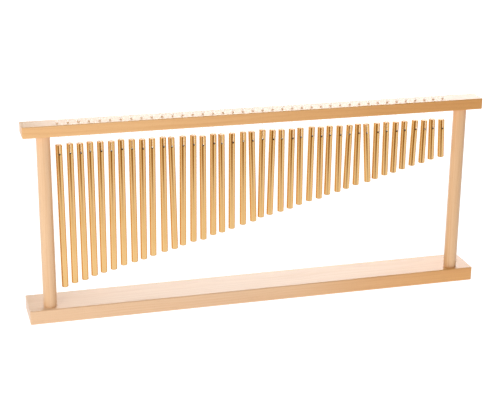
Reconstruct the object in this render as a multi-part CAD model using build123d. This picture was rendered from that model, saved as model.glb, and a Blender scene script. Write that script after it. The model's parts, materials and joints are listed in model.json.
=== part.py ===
from build123d import *
import math
import os

# Table-top bar chimes: forty gold rods hang in a row, long to short, from the beam of a beech stand.
# Millimetres. +Z is up, +X runs along the row towards the shortest chime, and -Y is the player's side.
# The origin is on the surface the stand rests on, under the middle of the base.

# ---- stand ----
BASE_LENGTH = 703.0
BASE_DEPTH = 64.0
BASE_THICK = 21.6
POST_Y = -15.5
POST_X = 320.0
POST_DIAMETER = 20.0
BEAM_LENGTH = 700.0
BEAM_SHIFT = -0.8
BEAM_DEPTH = 33.8
BEAM_THICK = 16.6
BEAM_TOP = 300.0
BASE_SOCKET_DEPTH = 12.0
BEAM_SOCKET_DEPTH = 9.0
GLUE_LINE = 0.05
BASE_EDGE_ROUND = 1.5
BEAM_EDGE_ROUND = 1.2
BEAM_LEFT_END_ROUND = 2.5
BEAM_RIGHT_END_ROUND = 1.2
POST_END_CHAMFER = 0.5

# ---- screws that hold the posts to the base, driven up from below ----
SCREW_DIAMETER = 4.0
SCREW_LENGTH = 35.0
SCREW_HEAD_DIAMETER = 8.0
SCREW_HEAD_HEIGHT = 2.4
SCREW_TIP = 5.0
SCREW_SUNK = 0.4
SCREW_CLEARANCE = 0.1
DRIVE_WIDTH = 1.1
DRIVE_LENGTH = 4.4
DRIVE_DEPTH = 1.3

# ---- chimes ----
CHIME_COUNT = 40
CHIME_PITCH = 15.1
ROW_CENTRE_X = -4.5
ROD_DIAMETER = 10.0
LONGEST_ROD = 217.8
ROD_STEP = 4.04
ROD_CHAMFER = 0.6
ROD_DROP = 15.4
HOLE_DOWN = 13.5
ROD_HOLE_DIAMETER = 2.8

# ---- nylon line: a loop through each rod and a knot on top of the beam ----
LINE_DIAMETER = 1.0
BEAM_HOLE_DIAMETER = 3.0
STRAND_OFFSET = 0.6
LEG_GAP = 0.25
LOOP_START = 0.3
LOOP_NECK = 1.4
SHOULDER_RISE = 0.5
NECK_ARC = 4.0
SHOULDER_ARC = 6.0
HOLE_ARC = 0.8
HOLE_CLEARANCE = 0.1
STRAND_STOP = 1.0
KNOT_DIAMETER = 3.8
KNOT_HEIGHT = 4.0
KNOT_ROUND = 1.2

# ---- how unevenly the row hangs: each size goes with an angle, in radians, stepped from chime to chime ----
TOP_SWAY = 0.5
TOP_SWAY_STEP = 2.4
LOW_SWAY = 0.9
LOW_SWAY_STEP = 1.7
LOW_SWAY_START = 1.0
HEIGHT_SWAY = 0.5
HEIGHT_SWAY_STEP = 4.1
TURN_SWAY = 9.0
TURN_SWAY_STEP = 2.9

# Chimes whose stiff line holds them visibly crooked:
# number: (sideways shift of the rod's top, sideways shift of its lower end).
CROOKED = {
    1: (0.6, 2.0),
    2: (1.4, 1.6),
    3: (0.7, 1.8),
    12: (-2.2, 1.5),
    17: (-2.4, -0.8),
    18: (-1.4, -1.1),
    20: (-1.7, 2.5),
    22: (0.6, -2.0),
    25: (-1.3, -0.8),
    26: (1.3, 0.0),
    30: (1.2, -1.2),
    32: (-2.4, 3.4),
    37: (1.6, -0.3),
    38: (1.7, 0.8),
    39: (-0.6, 1.0),
    40: (0.0, 2.4),
}

# Chimes whose loop is plainly shorter or longer than its neighbours', and how much higher they hang for it.
HUNG_HIGHER = {4: 1.2, 7: 1.4, 15: -1.2, 17: -1.2, 21: 2.0, 26: 1.0, 40: -1.4}

BEAM_UNDERSIDE = BEAM_TOP - BEAM_THICK
SOCKET_DIAMETER = POST_DIAMETER + 2 * GLUE_LINE
POST_BOTTOM = BASE_THICK - BASE_SOCKET_DEPTH
POST_TOP = BEAM_UNDERSIDE + BEAM_SOCKET_DEPTH
ROD_RADIUS = ROD_DIAMETER / 2
LINE_RADIUS = LINE_DIAMETER / 2
CHIME_NUMBERS = range(1, CHIME_COUNT + 1)

os.makedirs("parts", exist_ok=True)


def save(node, shape):
    shape.label = node
    export_step(shape, f"parts/{node}.step")


def upright_cylinder(x, y, bottom, diameter, height):
    """A cylinder standing on z = bottom."""
    aligned = Cylinder(diameter / 2, height, align=(Align.CENTER, Align.CENTER, Align.MIN))
    return Pos(x, y, bottom) * aligned


def rounded_bar(length, depth, thick, edge_round, left_end_round, right_end_round):
    """A bar standing on z = 0, with its long edges and its lower end edges rounded."""
    bar = Box(length, depth, thick, align=(Align.CENTER, Align.CENTER, Align.MIN))
    for end, end_round in ((0, left_end_round), (-1, right_end_round)):
        lower_end_edges = bar.faces().sort_by(Axis.Z)[0].edges().filter_by(Axis.Y)
        bar = fillet(lower_end_edges.sort_by(Axis.X)[end], end_round)
    return fillet(bar.edges().filter_by(Axis.X), edge_round)


# ---- how each chime hangs ----
def chime_x(number):
    """Where the chime's hole in the beam is, along the row."""
    return ROW_CENTRE_X + (number - (CHIME_COUNT + 1) / 2) * CHIME_PITCH


def rod_length(number):
    return LONGEST_ROD - (number - 1) * ROD_STEP


def rod_shifts(number):
    """Sideways shifts of the rod's top and of its lower end, off a plumb line from its hole."""
    top = TOP_SWAY * math.sin(TOP_SWAY_STEP * number)
    low = top + LOW_SWAY * math.sin(LOW_SWAY_STEP * number + LOW_SWAY_START)
    return CROOKED.get(number, (top, low))


def rod_top(number):
    level = BEAM_UNDERSIDE - ROD_DROP + HUNG_HIGHER.get(number, 0.0)
    return level + HEIGHT_SWAY * math.sin(HEIGHT_SWAY_STEP * number)


def rod_turn(number):
    """How far the rod and its loop are turned about the upright, in degrees."""
    return TURN_SWAY * math.sin(TURN_SWAY_STEP * number)


def rod_frame(number):
    """The rod's own frame: its top's middle is the origin, its axis runs down -Z, its hole lies along Y."""
    top, low = rod_shifts(number)
    lean = math.degrees(math.asin((low - top) / rod_length(number)))
    at_top = Location((chime_x(number) + top, POST_Y, rod_top(number)), (0, -lean, 0))
    return at_top * Location((0, 0, 0), (0, 0, rod_turn(number)))


# ---- stand pieces ----
def screw_solid(head_diameter, shank_diameter, extra):
    """A countersunk screw pointing up from z = 0, grown by extra at its tip."""
    head_radius = head_diameter / 2
    shank_radius = shank_diameter / 2
    profile = Polyline(
        (0, 0),
        (head_radius, 0),
        (shank_radius, SCREW_HEAD_HEIGHT),
        (shank_radius, SCREW_LENGTH - SCREW_TIP + extra),
        (0, SCREW_LENGTH + extra),
        close=True,
    )
    return revolve(Plane.XZ * make_face(profile), Axis.Z)


def screw_hole(x):
    """The room for one screw, down to the base's underside."""
    hole = screw_solid(
        SCREW_HEAD_DIAMETER + 2 * SCREW_CLEARANCE,
        SCREW_DIAMETER + 2 * SCREW_CLEARANCE,
        SCREW_CLEARANCE,
    )
    mouth_diameter = SCREW_HEAD_DIAMETER + 2 * SCREW_CLEARANCE
    mouth = upright_cylinder(x, POST_Y, 0, mouth_diameter, SCREW_SUNK)
    return Pos(x, POST_Y, SCREW_SUNK) * hole + mouth


def base_plank():
    """The base: two blind sockets for the posts, and a countersunk screw hole under each."""
    end_rounds = (BASE_EDGE_ROUND, BASE_EDGE_ROUND)
    plank = rounded_bar(BASE_LENGTH, BASE_DEPTH, BASE_THICK, BASE_EDGE_ROUND, *end_rounds)
    for x in (-POST_X, POST_X):
        plank -= upright_cylinder(x, POST_Y, POST_BOTTOM, SOCKET_DIAMETER, BASE_SOCKET_DEPTH)
        plank -= screw_hole(x)
    return plank


def post(x):
    """A dowel from the bottom of its base socket to the top of its beam socket."""
    dowel = upright_cylinder(x, POST_Y, POST_BOTTOM, POST_DIAMETER, POST_TOP - POST_BOTTOM)
    dowel = chamfer(dowel.edges().filter_by(GeomType.CIRCLE), POST_END_CHAMFER)
    return dowel - screw_hole(x)


def top_beam():
    """The beam: a blind socket for each post, and a hole through it for each chime's line."""
    end_rounds = (BEAM_LEFT_END_ROUND, BEAM_RIGHT_END_ROUND)
    bar = rounded_bar(BEAM_LENGTH, BEAM_DEPTH, BEAM_THICK, BEAM_EDGE_ROUND, *end_rounds)
    bar = Pos(BEAM_SHIFT, POST_Y, BEAM_UNDERSIDE) * bar
    for x in (-POST_X, POST_X):
        bar -= upright_cylinder(x, POST_Y, BEAM_UNDERSIDE, SOCKET_DIAMETER, BEAM_SOCKET_DEPTH)
    line_holes = [
        upright_cylinder(chime_x(n), POST_Y, BEAM_UNDERSIDE, BEAM_HOLE_DIAMETER, BEAM_THICK)
        for n in CHIME_NUMBERS
    ]
    return bar - line_holes


def base_screws():
    """Two countersunk wood screws with a cross drive, one up into each post."""
    screw = screw_solid(SCREW_HEAD_DIAMETER, SCREW_DIAMETER, 0)
    for turn in (0, 90):
        slot = Box(DRIVE_LENGTH, DRIVE_WIDTH, DRIVE_DEPTH, align=(Align.CENTER, Align.CENTER, Align.MIN))
        screw -= Rot(0, 0, turn) * slot
    return Compound([Pos(x, POST_Y, SCREW_SUNK) * screw.solid() for x in (-POST_X, POST_X)])


# ---- chime pieces ----
def rod(number):
    """The rod in its own frame, with chamfered ends and the cross hole for its line."""
    length = rod_length(number)
    bar = upright_cylinder(0, 0, -length, ROD_DIAMETER, length)
    bar = chamfer(bar.edges().filter_by(GeomType.CIRCLE), ROD_CHAMFER)
    hole = Rot(90, 0, 0) * Cylinder(ROD_HOLE_DIAMETER / 2, 2 * ROD_DIAMETER)
    return bar - Pos(0, 0, -HOLE_DOWN) * hole


def line_loop(number):
    """The line in the rod's frame: from the beam's hole down one side, through the rod, and up the other."""
    hang = Location((chime_x(number), POST_Y, BEAM_UNDERSIDE))
    neck = (rod_frame(number).inverse() * hang).position
    leg_y = ROD_RADIUS + LEG_GAP + LINE_RADIUS
    run_z = -HOLE_DOWN + ROD_HOLE_DIAMETER / 2 - LINE_RADIUS - HOLE_CLEARANCE
    front_half = [
        neck + Vector(0, -STRAND_OFFSET, -LOOP_START),
        neck + Vector(0, -STRAND_OFFSET, -LOOP_NECK),
        Vector(0, -leg_y, SHOULDER_RISE),
        Vector(0, -leg_y, run_z),
    ]
    back_half = [
        Vector(0, leg_y, run_z),
        Vector(0, leg_y, SHOULDER_RISE),
        neck + Vector(0, STRAND_OFFSET, -LOOP_NECK),
        neck + Vector(0, STRAND_OFFSET, -LOOP_START),
    ]
    arcs = [NECK_ARC, SHOULDER_ARC, HOLE_ARC, HOLE_ARC, SHOULDER_ARC, NECK_ARC]
    path = FilletPolyline(*front_half, *back_half, radius=arcs)
    section = Plane(origin=path @ 0, z_dir=path % 0) * Circle(LINE_RADIUS)
    return sweep(section, path=path)


def chime(number):
    """A rod and its loop: two solids that swing together from the beam's hole."""
    frame = rod_frame(number)
    return Compound([frame * rod(number).solid(), frame * line_loop(number).solid()])


def knot(number):
    """The knot that sits on the beam, with the two strands that run from it down into the hole."""
    lump = upright_cylinder(0, 0, BEAM_TOP, KNOT_DIAMETER, KNOT_HEIGHT)
    lump = fillet(lump.edges().filter_by(GeomType.CIRCLE), KNOT_ROUND)
    strand_bottom = BEAM_UNDERSIDE + STRAND_STOP
    strand_height = BEAM_TOP + KNOT_HEIGHT / 2 - strand_bottom
    for y in (-STRAND_OFFSET, STRAND_OFFSET):
        lump += upright_cylinder(0, y, strand_bottom, LINE_DIAMETER, strand_height)
    return Pos(chime_x(number), POST_Y, 0) * Rot(0, 0, rod_turn(number)) * lump


save("base_plank", base_plank())
save("left_post", post(-POST_X))
save("right_post", post(POST_X))
save("top_beam", top_beam())
save("base_screws", base_screws())
save("string_knots", Compound([knot(n).solid() for n in CHIME_NUMBERS]))
for n in CHIME_NUMBERS:
    save(f"chime_{n:02d}", chime(n))
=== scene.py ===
"""Table-top bar chimes: forty gold rods on nylon loops under a beech stand, in soft, bright studio light."""

import json
import math
import random

import bmesh
import bpy
import numpy as np
from mathutils import Matrix, Vector


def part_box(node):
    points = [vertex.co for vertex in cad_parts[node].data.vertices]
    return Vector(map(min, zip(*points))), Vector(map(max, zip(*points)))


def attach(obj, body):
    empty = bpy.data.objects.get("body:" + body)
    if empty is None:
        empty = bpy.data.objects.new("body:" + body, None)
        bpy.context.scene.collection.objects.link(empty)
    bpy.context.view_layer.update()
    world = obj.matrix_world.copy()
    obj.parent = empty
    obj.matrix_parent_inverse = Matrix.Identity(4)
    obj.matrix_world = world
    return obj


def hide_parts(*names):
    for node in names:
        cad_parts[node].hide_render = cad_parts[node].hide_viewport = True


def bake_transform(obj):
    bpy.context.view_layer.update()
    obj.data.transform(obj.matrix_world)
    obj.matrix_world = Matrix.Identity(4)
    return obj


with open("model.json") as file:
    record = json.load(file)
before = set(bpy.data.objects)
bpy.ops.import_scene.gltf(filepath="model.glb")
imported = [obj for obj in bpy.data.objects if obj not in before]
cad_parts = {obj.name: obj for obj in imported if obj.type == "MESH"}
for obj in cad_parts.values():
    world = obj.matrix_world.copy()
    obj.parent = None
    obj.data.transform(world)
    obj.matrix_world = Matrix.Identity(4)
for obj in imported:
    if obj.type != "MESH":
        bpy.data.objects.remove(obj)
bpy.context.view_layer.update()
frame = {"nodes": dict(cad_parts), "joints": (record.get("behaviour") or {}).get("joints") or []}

MM = 0.001
STAND = "stand"
CHIMES = sorted(n for n in frame["nodes"] if n.startswith("chime_"))
SWINGS = {joint["child"]: joint for joint in frame["joints"]}
BEAM_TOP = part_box("top_beam")[1].z

# ---- the rods, in metres ----
ROD_RADIUS = 5.0 * MM
ROD_CHAMFER = 0.6 * MM
ROD_CROWN = 0.12 * MM
ROD_SIDES = 72
BLANK_LENGTH = 40.0 * MM
HOLE_RADIUS = 1.4 * MM
HOLE_DOWN = 13.5 * MM
HOLE_BAND = 2.6 * MM
HOLE_DEBURR = 0.25 * MM
DRILL_REACH = 8.0 * MM
DRILL_SIDES = 32

# ---- the line, in metres ----
LINE_RADIUS = 0.5 * MM
LINE_SIDES = 12
STRAND_OFFSET = 0.6 * MM
LOOP_INSIDE = 2.5 * MM
LOOP_NECK = 1.4 * MM
LOOP_SHOULDER = 0.5 * MM
LOOP_OUT = ROD_RADIUS + LINE_RADIUS + 0.25 * MM
LOOP_RUN = -HOLE_DOWN + HOLE_RADIUS - LINE_RADIUS - 0.1 * MM
LOOP_BENDS = [4.0 * MM, 6.0 * MM, 0.8 * MM]
KNOT_REACH = 1.05 * MM
KNOT_RISE = 1.0 * MM
KNOT_SUNK = 0.3 * MM
KNOT_STEPS = 72
TAIL_BEND = 0.7 * MM

# ---- the wood: its yearly rings, and each piece's grain, colours and place in the tree; base and beam also get a painted falloff of light ----
RING_WIDTH = 3.1 * MM
RING_WANDER = 12.0 * MM
GRAIN_X = 0
GRAIN_Z = 2
WOODS = {
    "base_plank": dict(
        name="beech_base",
        along=GRAIN_X,
        pith=(0.0, 0.02, -0.055),
        pale=(0.85, 0.565, 0.34),
        deep=(0.77, 0.465, 0.25),
        shift=(0.0, 0.0, 0.0),
        # painted shade: the base's colour deepens towards its right end, where the light falls off
        painted_falloff=((0.965, 0.74, 0.37), 0.0, 0.42),
    ),
    "top_beam": dict(
        name="beech_beam",
        along=GRAIN_X,
        pith=(0.0, 0.05, 0.25),
        pale=(0.87, 0.515, 0.23),
        deep=(0.78, 0.42, 0.158),
        shift=(3.7, 1.1, 2.3),
        # painted shade: the beam's colour deepens towards its right end, where the light falls off
        painted_falloff=((0.855, 0.68, 0.34), -0.25, 0.38),
    ),
    "left_post": dict(
        name="beech_left_post",
        along=GRAIN_Z,
        pith=(-0.36, 0.03, 0.0),
        pale=(0.84, 0.55, 0.315),
        deep=(0.76, 0.45, 0.23),
        shift=(7.7, 4.1, 9.3),
    ),
    "right_post": dict(
        name="beech_right_post",
        along=GRAIN_Z,
        pith=(0.29, 0.04, 0.0),
        pale=(0.86, 0.54, 0.285),
        deep=(0.77, 0.44, 0.205),
        shift=(1.3, 8.6, 5.9),
    ),
}

# ---- the nylon: two tints, and a painted glow, an emission that stands in for the light it carries through; the knots have dim warm tints and a strong painted glow that lifts their shaded side ----
NYLON_IOR = 1.30
LINE_LOOK = dict(clearness=0.90, clear=(1.0, 0.965, 0.91), hazy=(0.97, 0.90, 0.82), glow=(0.06, 0.06, 0.06))
KNOT_LOOK = dict(clearness=0.0, clear=(0.64, 0.57, 0.50), hazy=(0.60, 0.53, 0.46), glow=(0.50, 0.46, 0.42))

# ---- the camera: metres and degrees ----
CAMERA_PLACE = (-0.5147, -1.7590, 0.7825)
CAMERA_YAW = 15.997
CAMERA_PITCH = 19.128
CAMERA_ROLL = 0.614
CAMERA_LENS = 91.78
SENSOR_WIDTH = 36.0
FAR_CLIP = 100.0

# ---- the stage: metres, degrees and watts ----
WHITE = (1.0, 1.0, 1.0)
FLOOR_HALF = 30.0
FLOOR_GREY = 0.30
FLOOR_GLOW = 1.0
WALL_RADIUS = 20.0
WALL_SPAN = (-0.5, 28.0)
TABLE_HALF = 2.5
TABLE_FRONT = -1.2
TABLE_HEIGHT = 0.0008
TABLE_FADE = (0.43, 0.74)
TABLE_DIM = (0.12, 0.60)
TABLE_NEAR = (1.00, 0.98, 1.06)
TABLE_FAR = (0.86, 0.83, 0.92)
ROOM_RADIUS = 6.0
ROOM_SPAN = (-7.0, -0.01)
ROOM_LEFT = (0.66, 0.56, 0.46)
ROOM_RIGHT = (1.0, 1.06, 1.28)
ROOM_DARK = (0.31, 0.15, 0.0)
DARK_CENTRE = 13.0
DARK_LEFT = (22.0, 30.0)
DARK_RIGHT = (20.0, 34.0)
SCREEN_X = 0.95
SCREEN_REACH = 0.9
SCREEN_FOOT = 0.002
SCREEN_BLACK = 0.02
WORLD_STRENGTH = 0.55
SOFTBOXES = {
    "key": dict(place=(-1.15, -1.0, 0.55), aim=(-0.2, 0.0, 0.15), size=(0.7, 0.7), watts=5.8),
    "back": dict(place=(1.19, 1.7, 0.75), aim=(0.05, 0.0, 0.15), size=(3.0, 1.1), watts=40.0),
}


# ---------------------------------------------------------------- camera
def make_camera():
    """Looks down on the front from the left, as a short telephoto lens does."""
    data = bpy.data.cameras.new("camera")
    data.sensor_width = SENSOR_WIDTH
    data.lens = CAMERA_LENS
    data.clip_end = FAR_CLIP
    camera = bpy.data.objects.new("camera", data)
    bpy.context.scene.collection.objects.link(camera)
    yaw = math.radians(CAMERA_YAW)
    pitch = math.radians(CAMERA_PITCH)
    roll = math.radians(CAMERA_ROLL)
    forward = Vector((math.sin(yaw) * math.cos(pitch), math.cos(yaw) * math.cos(pitch), -math.sin(pitch)))
    level = Vector((math.cos(yaw), -math.sin(yaw), 0.0))
    up = level.cross(forward)
    right = level * math.cos(roll) + up * math.sin(roll)
    up = up * math.cos(roll) - level * math.sin(roll)
    turn = Matrix((right, up, -forward)).transposed()
    camera.matrix_world = Matrix.Translation(CAMERA_PLACE) @ turn.to_4x4()
    bpy.context.scene.camera = camera


# ---------------------------------------------------------------- node helpers
class Tree:
    """Adds nodes to one material and links them by name."""

    def __init__(self, name):
        self.material = bpy.data.materials.new(name)
        self.material.use_nodes = True
        self.nodes = self.material.node_tree.nodes
        self.links = self.material.node_tree.links
        self.shader = self.nodes["Principled BSDF"]

    def add(self, kind, inputs=None, **settings):
        node = self.nodes.new("ShaderNode" + kind)
        for key, value in settings.items():
            setattr(node, key, value)
        for key, value in (inputs or {}).items():
            self.put(node.inputs[key], value)
        return node

    def put(self, socket, value):
        if isinstance(value, bpy.types.NodeSocket):
            self.links.new(value, socket)
        else:
            socket.default_value = value

    def coords(self):
        """Where each point lies on the object, in metres."""
        return self.add("TexCoord").outputs["Object"]

    def split(self, vector):
        """A vector's X, Y and Z."""
        return self.add("SeparateXYZ", {0: vector}).outputs

    def math(self, operation, a, b=0.0, c=0.0, clamp=False):
        node = self.add("Math", {0: a, 1: b, 2: c}, operation=operation, use_clamp=clamp)
        return node.outputs[0]

    def scaled(self, vector, scale, shift=(0.0, 0.0, 0.0)):
        """vector times scale, plus shift."""
        node = self.add("VectorMath", {0: vector, 1: scale, 2: shift}, operation="MULTIPLY_ADD")
        return node.outputs[0]

    def length(self, vector):
        return self.add("VectorMath", {0: vector}, operation="LENGTH").outputs["Value"]

    def noise(self, vector, detail=2.0, roughness=0.5):
        """Cloudy noise, one cloud to each unit of vector."""
        inputs = {"Vector": vector, "Scale": 1.0, "Detail": detail, "Roughness": roughness}
        return self.add("TexNoise", inputs).outputs["Fac"]

    def between(self, value, low, high):
        """0 where value is low, 1 where it is high, with a smooth step between."""
        inputs = {"Value": value, "From Min": low, "From Max": high}
        return self.add("MapRange", inputs, interpolation_type="SMOOTHSTEP").outputs["Result"]

    def mix(self, factor, a, b, blend="MIX"):
        node = self.add("Mix", {0: factor, 6: a, 7: b}, data_type="RGBA", blend_type=blend)
        return node.outputs[2]

    def bump(self, height, distance, strength):
        node = self.add("Bump", {"Height": height, "Distance": distance, "Strength": strength})
        self.links.new(node.outputs["Normal"], self.shader.inputs["Normal"])

    def surface(self, **values):
        for key, value in values.items():
            self.put(self.shader.inputs[key.replace("_", " ")], value)

    def only_glow(self, colour, clear=None):
        """Swaps the shader for a plain glow, see-through by the share that clear gives."""
        self.nodes.remove(self.shader)
        shown = self.add("Emission", {"Color": colour, "Strength": 1.0}).outputs[0]
        if clear is not None:
            gap = self.add("BsdfTransparent").outputs[0]
            shown = self.add("MixShader", {0: clear, 1: shown, 2: gap}).outputs[0]
        self.links.new(shown, self.nodes["Material Output"].inputs["Surface"])


def rgb(red, green, blue):
    return (red, green, blue, 1.0)


# ---------------------------------------------------------------- materials
def beech(name, along, pith, pale, deep, shift, painted_falloff=None):
    """Beech with its grain along one axis: rings round a pith line, fibre streaks and short dark ray flecks.

    pith is a point on the line at the middle of the tree's rings. shift moves the pattern, so that no two
    pieces are alike. The last argument is painted shade: a tint that deepens along X for the light falling
    off towards the right end, with the two places where it begins and is full."""
    tree = Tree(name)
    coords = tree.coords()
    across = [1.0, 1.0, 1.0]
    across[along] = 0.0

    def stretched(along_scale, across_scale, offset):
        scale = [across_scale] * 3
        scale[along] = along_scale
        return tree.scaled(coords, scale, [offset + s for s in shift])

    wander = tree.add("TexNoise", {"Vector": stretched(5.0, 9.0, 3.1), "Scale": 1.0, "Detail": 2.0})
    wander = tree.scaled(wander.outputs["Color"], [RING_WANDER] * 3, [-RING_WANDER / 2] * 3)
    ring_coords = tree.add("VectorMath", {0: coords, 1: wander}, operation="ADD").outputs[0]
    radius = tree.length(tree.scaled(ring_coords, across, [-p for p in pith]))
    ring = tree.math("FRACT", tree.math("MULTIPLY", radius, 1 / RING_WIDTH))
    late_wood = tree.math("MULTIPLY", tree.between(ring, 0.35, 0.97), tree.between(ring, 1.0, 0.97))

    streak = tree.noise(stretched(7.0, 420.0, 0.0), 3.0, 0.6)
    fibre = tree.noise(stretched(60.0, 2600.0, 1.7))
    cloud = tree.noise(stretched(4.0, 16.0, 5.2))

    tone = tree.math("MULTIPLY", tree.between(streak, 0.35, 0.70), 0.42)
    tone = tree.math("MULTIPLY_ADD", late_wood, 0.30, tone)
    tone = tree.math("MULTIPLY_ADD", tree.between(cloud, 0.30, 0.72), 0.28, tone)
    tone = tree.math("MULTIPLY_ADD", tree.between(fibre, 0.30, 0.75), 0.16, tone, clamp=True)
    colour = tree.mix(tone, rgb(*pale), rgb(*deep))

    cells = tree.add("TexVoronoi", {"Vector": stretched(360.0, 2100.0, 0.9), "Scale": 1.0})
    lens = tree.between(cells.outputs["Distance"], 0.36, 0.12)
    chance = tree.add("SeparateColor", {0: cells.outputs["Color"]}).outputs[0]
    fleck = tree.math("MULTIPLY", lens, tree.between(chance, 0.50, 0.75))
    fleck_colour = rgb(deep[0] * 0.62, deep[1] * 0.52, deep[2] * 0.42)
    colour = tree.mix(tree.math("MULTIPLY", fleck, 0.34), colour, fleck_colour)
    # painted shade: a tint that deepens along X stands in for the light falling off towards the right end
    if painted_falloff is not None:
        tint, begins, full = painted_falloff
        reach = tree.math("MULTIPLY_ADD", cloud, 0.12, tree.split(coords)["X"])
        warm = tree.mix(tree.between(reach, begins, full), rgb(*WHITE), rgb(*tint))
        colour = tree.mix(1.0, colour, warm, "MULTIPLY")

    roughness = tree.math("MULTIPLY_ADD", streak, 0.18, 0.40)
    relief = tree.math("MULTIPLY_ADD", fibre, 0.5, tree.math("MULTIPLY", streak, 0.8))
    relief = tree.math("SUBTRACT", relief, tree.math("MULTIPLY", fleck, 0.6))
    tree.surface(Base_Color=colour, Roughness=roughness, Coat_Weight=0.5, Coat_Roughness=0.28)
    tree.bump(relief, 0.12 * MM, 0.6)
    return tree.material


def gold():
    """Gold-anodised rod: fine brushing along it, faint cloudiness, handling marks and sawn end faces."""
    tree = Tree("gold_rod")
    coords = tree.coords()
    brushing = tree.noise(tree.scaled(coords, (5200.0, 5200.0, 30.0)), 2.0, 0.6)
    cloud = tree.noise(tree.scaled(coords, (90.0, 90.0, 14.0)), 3.0)
    marks = tree.noise(tree.scaled(coords, (700.0, 700.0, 260.0)), 2.0, 0.7)
    marked = tree.math("MULTIPLY", tree.between(marks, 0.62, 0.80), 0.25)
    colour = tree.mix(tree.between(cloud, 0.30, 0.75), rgb(0.91, 0.600, 0.245), rgb(0.83, 0.515, 0.180))
    colour = tree.mix(marked, colour, rgb(0.62, 0.40, 0.18))
    roughness = tree.math("MULTIPLY_ADD", cloud, 0.08, 0.06)
    roughness = tree.math("MULTIPLY_ADD", brushing, 0.08, roughness)

    reach = tree.length(tree.scaled(coords, (1.0, 1.0, 0.0)))
    facing = tree.math("ABSOLUTE", tree.split(tree.add("TexCoord").outputs["Normal"])["Z"])
    end_face = tree.between(facing, 0.80, 0.95)
    rings = tree.noise(tree.add("CombineXYZ", {0: tree.math("MULTIPLY", reach, 9000.0)}).outputs[0])
    sawn = tree.mix(rings, rgb(0.50, 0.36, 0.25), rgb(0.62, 0.47, 0.34))
    colour = tree.mix(end_face, colour, sawn)
    roughness = tree.math("MULTIPLY_ADD", end_face, 0.32, roughness)
    relief = tree.math("MULTIPLY_ADD", tree.math("MULTIPLY", rings, end_face), 2.0, brushing)
    tree.surface(Base_Color=colour, Metallic=1.0, Roughness=roughness)
    tree.bump(relief, 0.006 * MM, 0.5)
    return tree.material


def painted_dark_bore():
    """The drilled hole's wall, painted dark brown as painted shade for the hole's unlit inside, with drill
    marks.
    """
    tree = Tree("rod_bore_painted_shade")
    marks = tree.noise(tree.scaled(tree.coords(), (900.0, 5200.0, 900.0)), 2.0, 0.6)
    # painted shade: these dark browns stand in for the shade inside the hole
    colour = tree.mix(marks, rgb(0.17, 0.09, 0.035), rgb(0.28, 0.16, 0.07))
    roughness = tree.math("MULTIPLY_ADD", marks, 0.2, 0.5)
    tree.surface(Base_Color=colour, Metallic=1.0, Roughness=roughness)
    tree.bump(marks, 0.02 * MM, 0.4)
    return tree.material


def nylon(name, clearness, clear, hazy, glow):
    """Monofilament that wanders between a clear and a hazy tint. Its glow is painted light, an emission
    standing in for the light that thin clear line carries through.
    """
    tree = Tree(name)
    haze = tree.noise(tree.scaled(tree.coords(), (400.0, 400.0, 400.0)))
    colour = tree.mix(haze, rgb(*clear), rgb(*hazy))
    roughness = tree.math("MULTIPLY_ADD", haze, 0.10, 0.06)
    tree.surface(Base_Color=colour, Roughness=roughness, IOR=NYLON_IOR, Transmission_Weight=clearness)
    # painted light: the emission stands in for the light that clear line carries through
    tree.surface(Emission_Color=rgb(*glow), Emission_Strength=1.0)
    return tree.material


def zinc():
    """Zinc-plated screw steel with a dull bloom."""
    tree = Tree("screw_steel")
    bloom = tree.noise(tree.scaled(tree.coords(), (900.0, 900.0, 900.0)), 3.0, 0.6)
    colour = tree.mix(bloom, rgb(0.62, 0.62, 0.60), rgb(0.42, 0.43, 0.44))
    tree.surface(Base_Color=colour, Metallic=1.0, Roughness=tree.math("MULTIPLY_ADD", bloom, 0.25, 0.22))
    tree.bump(bloom, 0.02 * MM, 0.5)
    return tree.material


def dress(node, material):
    """Gives a carried CAD node a finished material."""
    mesh = frame["nodes"][node].data
    mesh.materials.clear()
    mesh.materials.append(material)


# ---------------------------------------------------------------- mesh helpers
def new_object(name, mesh, *materials):
    """An object in the scene. A mesh that already has its materials is given none here."""
    obj = bpy.data.objects.new(name, mesh)
    bpy.context.scene.collection.objects.link(obj)
    for material in materials:
        mesh.materials.append(material)
    return obj


def smooth(mesh, sharp_above=32.0):
    mesh.polygons.foreach_set("use_smooth", [True] * len(mesh.polygons))
    mesh.set_sharp_from_angle(angle=math.radians(sharp_above))


def mesh_from(name, verts, faces):
    mesh = bpy.data.meshes.new(name)
    mesh.from_pydata([tuple(v) for v in verts], [], faces)
    mesh.update()
    return mesh


def turned(profile, sides):
    """Vertices and faces of a solid turned about Z from (radius, z) points, first and last on the axis."""
    verts = [(0.0, 0.0, profile[0][1])]
    faces = []
    for radius, z in profile[1:-1]:
        for k in range(sides):
            angle = 2 * math.pi * k / sides
            verts.append((radius * math.cos(angle), radius * math.sin(angle), z))
    verts.append((0.0, 0.0, profile[-1][1]))
    rings = len(profile) - 2
    for k in range(sides):
        after = (k + 1) % sides
        faces.append((0, 1 + k, 1 + after))
        for r in range(rings - 1):
            a = 1 + r * sides
            faces.append((a + k, a + sides + k, a + sides + after, a + after))
        last = 1 + (rings - 1) * sides
        faces.append((last + k, len(verts) - 1, last + after))
    return verts, faces


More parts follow.
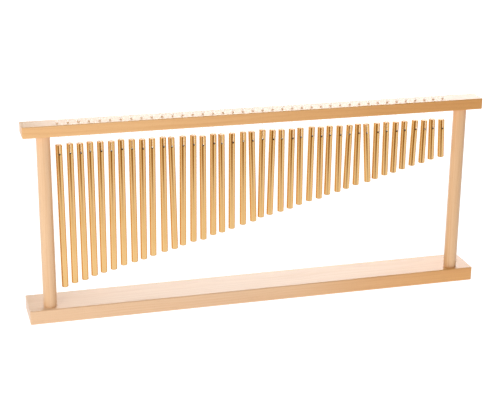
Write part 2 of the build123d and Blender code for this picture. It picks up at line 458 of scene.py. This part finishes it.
def tube(points, radius, sides):
    """Vertices and faces of a closed round tube along points, turned as little as possible on its way."""
    points = [Vector(p) for p in points]
    verts, faces = [], []
    ahead = (points[1] - points[0]).normalized()
    side = ahead.orthogonal().normalized()
    for i, point in enumerate(points):
        before = points[max(i - 1, 0)]
        after = points[min(i + 1, len(points) - 1)]
        heading = (after - before).normalized()
        side = (side - heading * side.dot(heading)).normalized()
        other = heading.cross(side)
        for k in range(sides):
            angle = 2 * math.pi * k / sides
            verts.append(point + (side * math.cos(angle) + other * math.sin(angle)) * radius)
    for i in range(len(points) - 1):
        for k in range(sides):
            after = (k + 1) % sides
            faces.append((i * sides + k, i * sides + after, (i + 1) * sides + after, (i + 1) * sides + k))
    faces.append(tuple(reversed(range(sides))))
    faces.append(tuple(range((len(points) - 1) * sides, len(points) * sides)))
    return verts, faces


def joined(parts):
    """Several (verts, faces) as one."""
    verts, faces = [], []
    for part_verts, part_faces in parts:
        base = len(verts)
        verts += list(part_verts)
        faces += [tuple(base + i for i in face) for face in part_faces]
    return verts, faces


def rounded_route(corners, radii, step=math.radians(12.0)):
    """Points along straight runs joined by arcs, one radius for each inner corner."""
    corners = [Vector(c) for c in corners]
    route = [corners[0]]
    for before, corner, after, radius in zip(corners, corners[1:], corners[2:], radii):
        back = (before - corner).normalized()
        on = (after - corner).normalized()
        half = (math.pi - back.angle(on)) / 2
        reach = radius * math.tan(half)
        centre = corner + (back + on).normalized() * (radius / math.cos(half))
        start = corner + back * reach - centre
        end = corner + on * reach - centre
        turns = max(2, math.ceil(2 * half / step))
        for k in range(turns + 1):
            t = k / turns
            swing = math.sin(2 * half)
            arm = start * (math.sin((1 - t) * 2 * half) / swing) + end * (math.sin(t * 2 * half) / swing)
            route.append(centre + arm)
    route.append(corners[-1])
    return route


# ---------------------------------------------------------------- how each chime hangs, from the frame
def islands(node):
    """The CAD node's solids as arrays of corner points, the one that reaches lowest first."""
    bm = bmesh.new()
    bm.from_mesh(frame["nodes"][node].data)
    bmesh.ops.remove_doubles(bm, verts=bm.verts, dist=1e-6)
    found, seen = [], set()
    for start in bm.verts:
        if start in seen:
            continue
        group, queue = [], [start]
        seen.add(start)
        while queue:
            vert = queue.pop()
            group.append(tuple(vert.co))
            for edge in vert.link_edges:
                other = edge.other_vert(vert)
                if other not in seen:
                    seen.add(other)
                    queue.append(other)
        found.append(np.array(group))
    bm.free()
    return sorted(found, key=lambda g: g[:, 2].min())


def hanging(node):
    """The rod's own frame at rest, and its length.

    Its origin is the middle of the rod's top, -Z runs down the rod and Y through its hole."""
    rod, loop = islands(node)
    axis = Vector((0, 0, 1))
    for near_end in (1.0 * MM, 0.3 * MM, 0.1 * MM, 0.05 * MM):
        heights = rod @ np.array(axis)
        bottom = Vector(rod[heights < heights.min() + near_end].mean(0))
        top = Vector(rod[heights > heights.max() - near_end].mean(0))
        axis = (top - bottom).normalized()
    level = loop[np.abs(loop[:, 2] - (top.z - HOLE_DOWN / 2)) < HOLE_DOWN / 2]
    front = Vector(level[level[:, 1] < top.y].mean(0))
    back = Vector(level[level[:, 1] > top.y].mean(0))
    across = (back - front).normalized()
    across = (across - axis * across.dot(axis)).normalized()
    side = across.cross(axis)
    turn = Matrix((side, across, axis)).transposed().to_4x4()
    return Matrix.Translation(top) @ turn, (top - bottom).length


# ---------------------------------------------------------------- pieces
def blank_profile():
    """The (radius, z) outline of the blank rod: chamfered edges, and a plain band round the hole."""
    r, c, crown = ROD_RADIUS, ROD_CHAMFER, ROD_CROWN
    top = [(0, 0), (r - c - crown, 0), (r - c, 0), (r - c * 0.85, -crown * 0.5)]
    top += [(r - crown * 0.6, -c + crown), (r, -c - crown), (r, -c - 2 * crown)]
    band = [(r, -HOLE_DOWN + HOLE_BAND), (r, -HOLE_DOWN - HOLE_BAND)]
    bottom = [(radius, -BLANK_LENGTH - z) for radius, z in reversed(top)]
    return top + band + bottom


def drill_profile():
    """The drill's (radius, z) outline: it widens at the rod's surface, which deburrs the hole."""
    mouth = ROD_RADIUS - HOLE_DEBURR
    wide = HOLE_RADIUS + DRILL_REACH - mouth
    half = [(0, DRILL_REACH), (wide, DRILL_REACH), (HOLE_RADIUS, mouth)]
    return half + [(radius, -z) for radius, z in reversed(half)]


def drilled_blank(metal, shaded_bore):
    """The mesh that every rod is made from: a short rod with its cross hole."""
    blank = new_object("rod_blank", mesh_from("rod_blank", *turned(blank_profile(), ROD_SIDES)), metal)
    drill = new_object("drill", mesh_from("drill", *turned(drill_profile(), DRILL_SIDES)), shaded_bore)
    drill.matrix_world = Matrix.Translation((0, 0, -HOLE_DOWN)) @ Matrix.Rotation(math.pi / 2, 4, "X")
    cut = blank.modifiers.new("hole", "BOOLEAN")
    cut.object = drill
    cut.operation = "DIFFERENCE"
    cut.solver = "EXACT"
    cut.material_mode = "TRANSFER"
    bpy.context.view_layer.update()
    shape = bpy.data.meshes.new_from_object(blank.evaluated_get(bpy.context.evaluated_depsgraph_get()))
    for obj in (blank, drill):
        bpy.data.objects.remove(obj)
    return shape


def rod_piece(node, place, length, blank):
    """A chime's rod: the blank, with its lower half moved down until it is as long as the rod."""
    mesh = blank.copy()
    mesh.name = node + "_rod"
    co = np.zeros(len(mesh.vertices) * 3)
    mesh.vertices.foreach_get("co", co)
    co = co.reshape(-1, 3)
    lower = co[:, 2] < -BLANK_LENGTH / 2
    co[lower, 2] -= length - BLANK_LENGTH
    mesh.vertices.foreach_set("co", co.ravel())
    mesh.update()
    smooth(mesh)
    rod = new_object(node + "_rod", mesh)
    rod.matrix_world = place
    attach(rod, node)
    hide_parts(node)


def loop_piece(node, place, material):
    """The line from inside the beam's hole, down one side, through the rod and back up the other."""
    hang = Vector(SWINGS[node]["pos_m"])
    across = place.to_3x3() @ Vector((0, 1, 0))
    up = Vector((0, 0, 1))

    def leg(sign):
        """One side of the loop, from the beam's hole down to the rod's."""
        strand = hang + across * STRAND_OFFSET * sign
        shoulder = place @ Vector((0, sign * LOOP_OUT, LOOP_SHOULDER))
        foot = place @ Vector((0, sign * LOOP_OUT, LOOP_RUN))
        return [strand + up * LOOP_INSIDE, strand - up * LOOP_NECK, shoulder, foot]

    route = rounded_route(leg(-1) + leg(1)[::-1], LOOP_BENDS + LOOP_BENDS[::-1])
    mesh = mesh_from(node + "_line", *tube(route, LINE_RADIUS, LINE_SIDES))
    smooth(mesh, 60.0)
    line = new_object(node + "_line", mesh, material)
    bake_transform(line)
    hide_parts(node)


def knot_points(spin):
    """A double overhand knot pulled tight: the line winds twice round itself and closes on its own start."""
    points = []
    for k in range(KNOT_STEPS + 1):
        t = 2 * math.pi * k / KNOT_STEPS
        reach = KNOT_REACH * (1.0 + 0.30 * math.cos(3 * t + spin))
        height = KNOT_RISE * math.sin(3 * t + spin)
        points.append(Vector((reach * math.cos(2 * t), reach * math.sin(2 * t), height)))
    return points


def knots_piece(places, material):
    """Every knot on the beam with its two cut tails and the strands down its hole, as one piece carried by
    the stand.
    """
    rng = random.Random(11)
    up = Vector((0, 0, 1))
    parts = []
    for node, place in places.items():
        hang = Vector(SWINGS[node]["pos_m"])
        across = (place.to_3x3() @ Vector((0, 1, 0))).normalized()
        centre = Vector((hang.x, hang.y, BEAM_TOP + KNOT_RISE + LINE_RADIUS - KNOT_SUNK))
        turn = Matrix.Rotation(rng.uniform(0, 2 * math.pi), 3, "Z")
        knot = [centre + turn @ p for p in knot_points(rng.uniform(0, 1))]
        parts.append(tube(knot, LINE_RADIUS, LINE_SIDES))
        for sign in (-1, 1):
            heading = rng.uniform(-0.5, 0.5) + (0.0 if sign > 0 else math.pi)
            out = Vector((math.cos(heading), 0.6 * math.sin(heading), 0.0))
            tail = [
                centre + up * 0.2 * MM,
                centre + out * 0.5 * MM + up * 1.5 * MM,
                centre + out * rng.uniform(1.0, 1.7) * MM + up * rng.uniform(1.9, 2.15) * MM,
            ]
            parts.append(tube(rounded_route(tail, [TAIL_BEND]), LINE_RADIUS, LINE_SIDES))
            foot = hang + across * STRAND_OFFSET * sign
            strand = [foot + up * 2.0 * MM, Vector((foot.x, foot.y, BEAM_TOP + 1.0 * MM))]
            parts.append(tube(strand, LINE_RADIUS, LINE_SIDES))
    mesh = mesh_from("string_knots_line", *joined(parts))
    smooth(mesh, 60.0)
    knots = new_object("string_knots_line", mesh, material)
    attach(knots, STAND)
    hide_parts("string_knots")


def hang_chimes():
    """All forty rods and loops, then the knots that hold them."""
    blank = drilled_blank(gold(), painted_dark_bore())
    line_material = nylon("nylon_line", **LINE_LOOK)
    knot_material = nylon("nylon_knot", **KNOT_LOOK)
    places = {}
    for chime in CHIMES:
        places[chime], rod_length = hanging(chime)
        rod_piece(chime, places[chime], rod_length, blank)
        loop_piece(chime, places[chime], line_material)
    knots_piece(places, knot_material)


# ---------------------------------------------------------------- stage and light
def hide_from(obj, *rays):
    """Leaves a stage piece out of what some kinds of rays meet."""
    for ray in rays:
        setattr(obj, "visible_" + ray, False)


def sheet(name, corners, material):
    """A flat stage piece with four corners."""
    return new_object(name, mesh_from(name, corners, [(0, 1, 2, 3)]), material)


def round_wall(name, radius, span, steps, material):
    """A stage wall all round the object, between two heights."""
    verts, faces = [], []
    for k in range(steps):
        angle = 2 * math.pi * k / steps
        after = (k + 1) % steps
        for z in span:
            verts.append((radius * math.cos(angle), radius * math.sin(angle), z))
        faces.append((2 * k, 2 * after, 2 * after + 1, 2 * k + 1))
    return new_object(name, mesh_from(name, verts, faces), material)


def floor():
    """A white table top, lit until it is as bright as the backdrop. The gloss sees the two cards instead."""
    tree = Tree("floor_white")
    tree.surface(Base_Color=rgb(FLOOR_GREY, FLOOR_GREY, FLOOR_GREY), Roughness=1.0, Specular_IOR_Level=0.0)
    tree.surface(Emission_Color=rgb(*WHITE), Emission_Strength=FLOOR_GLOW)
    h = FLOOR_HALF
    ground = sheet("floor", [(-h, -h, 0), (h, -h, 0), (h, h, 0), (-h, h, 0)], tree.material)
    hide_from(ground, "glossy")


def dark_screen():
    """A black screen to the right, out of view: it takes light off the sides that face it."""
    tree = Tree("dark_screen")
    tree.surface(Base_Color=rgb(SCREEN_BLACK, SCREEN_BLACK, SCREEN_BLACK), Roughness=1.0)
    tree.surface(Specular_IOR_Level=0.0)
    x, reach, foot = SCREEN_X, SCREEN_REACH, SCREEN_FOOT
    corners = [(x, -reach, foot), (x, reach, foot), (x, reach, reach), (x, -reach, reach)]
    screen = sheet("dark_screen", corners, tree.material)
    hide_from(screen, "camera", "glossy", "transmission")


def far_wall():
    """The white backdrop beyond the object, for views near the horizon."""
    tree = Tree("far_wall")
    tree.only_glow(rgb(*WHITE))
    wall = round_wall("far_wall", WALL_RADIUS, WALL_SPAN, 64, tree.material)
    hide_from(wall, "diffuse", "glossy", "shadow")


def table_card():
    """What the rods mirror of the white table: it ends softly in front, where the dim room begins."""
    tree = Tree("table_card")
    front = tree.math("MULTIPLY", tree.split(tree.coords())["Y"], -1.0)
    colour = tree.mix(tree.between(front, *TABLE_DIM), rgb(*TABLE_NEAR), rgb(*TABLE_FAR))
    tree.only_glow(colour, clear=tree.between(front, *TABLE_FADE))
    h, front_edge, z = TABLE_HALF, TABLE_FRONT, TABLE_HEIGHT
    corners = [(-h, front_edge, z), (h, front_edge, z), (h, h, z), (-h, h, z)]
    card = sheet("table_card", corners, tree.material)
    hide_from(card, "camera", "diffuse", "shadow", "transmission")


def room_card():
    """What the rods mirror past the table: a dim room in front between a warm side and a cool one."""
    tree = Tree("room_card")
    place = tree.split(tree.coords())
    leftward = tree.math("MULTIPLY", place["X"], -1.0)
    forward = tree.math("MULTIPLY", place["Y"], -1.0)
    side = tree.math("SUBTRACT", tree.math("ARCTAN2", leftward, forward), math.radians(DARK_CENTRE))
    sides = tree.mix(tree.between(side, -0.2, 0.2), rgb(*ROOM_RIGHT), rgb(*ROOM_LEFT))
    past_left = tree.between(side, math.radians(DARK_LEFT[0]), math.radians(DARK_LEFT[1]))
    past_right = tree.between(side, math.radians(-DARK_RIGHT[0]), math.radians(-DARK_RIGHT[1]))
    within_left = tree.math("SUBTRACT", 1.0, past_left)
    within_right = tree.math("SUBTRACT", 1.0, past_right)
    dark = tree.math("MULTIPLY", within_left, within_right)
    tree.only_glow(tree.mix(dark, sides, rgb(*ROOM_DARK)))
    card = round_wall("room_card", ROOM_RADIUS, ROOM_SPAN, 96, tree.material)
    hide_from(card, "camera", "diffuse", "shadow", "transmission")


def softbox(name, place, aim, size, watts):
    data = bpy.data.lights.new(name, "AREA")
    data.shape = "RECTANGLE"
    data.size, data.size_y = size
    data.energy = watts
    light = bpy.data.objects.new(name, data)
    bpy.context.scene.collection.objects.link(light)
    light.location = place
    light.rotation_euler = (Vector(aim) - Vector(place)).to_track_quat("-Z", "Y").to_euler()
    hide_from(light, "camera")


def make_stage():
    """The floor, the backdrop, what the rods mirror, the lights and a plain view of their colours."""
    floor()
    dark_screen()
    far_wall()
    table_card()
    room_card()
    world = bpy.data.worlds.new("world")
    world.use_nodes = True
    background = world.node_tree.nodes["Background"]
    background.inputs["Color"].default_value = rgb(*WHITE)
    background.inputs["Strength"].default_value = WORLD_STRENGTH
    bpy.context.scene.world = world
    for name, light in SOFTBOXES.items():
        softbox(name, **light)
    view = bpy.context.scene.view_settings
    view.view_transform = "Standard"
    view.look = "None"


# ---------------------------------------------------------------- the scene
make_camera()
for wooden, wood in WOODS.items():
    dress(wooden, beech(**wood))
dress("base_screws", zinc())
hang_chimes()
make_stage()
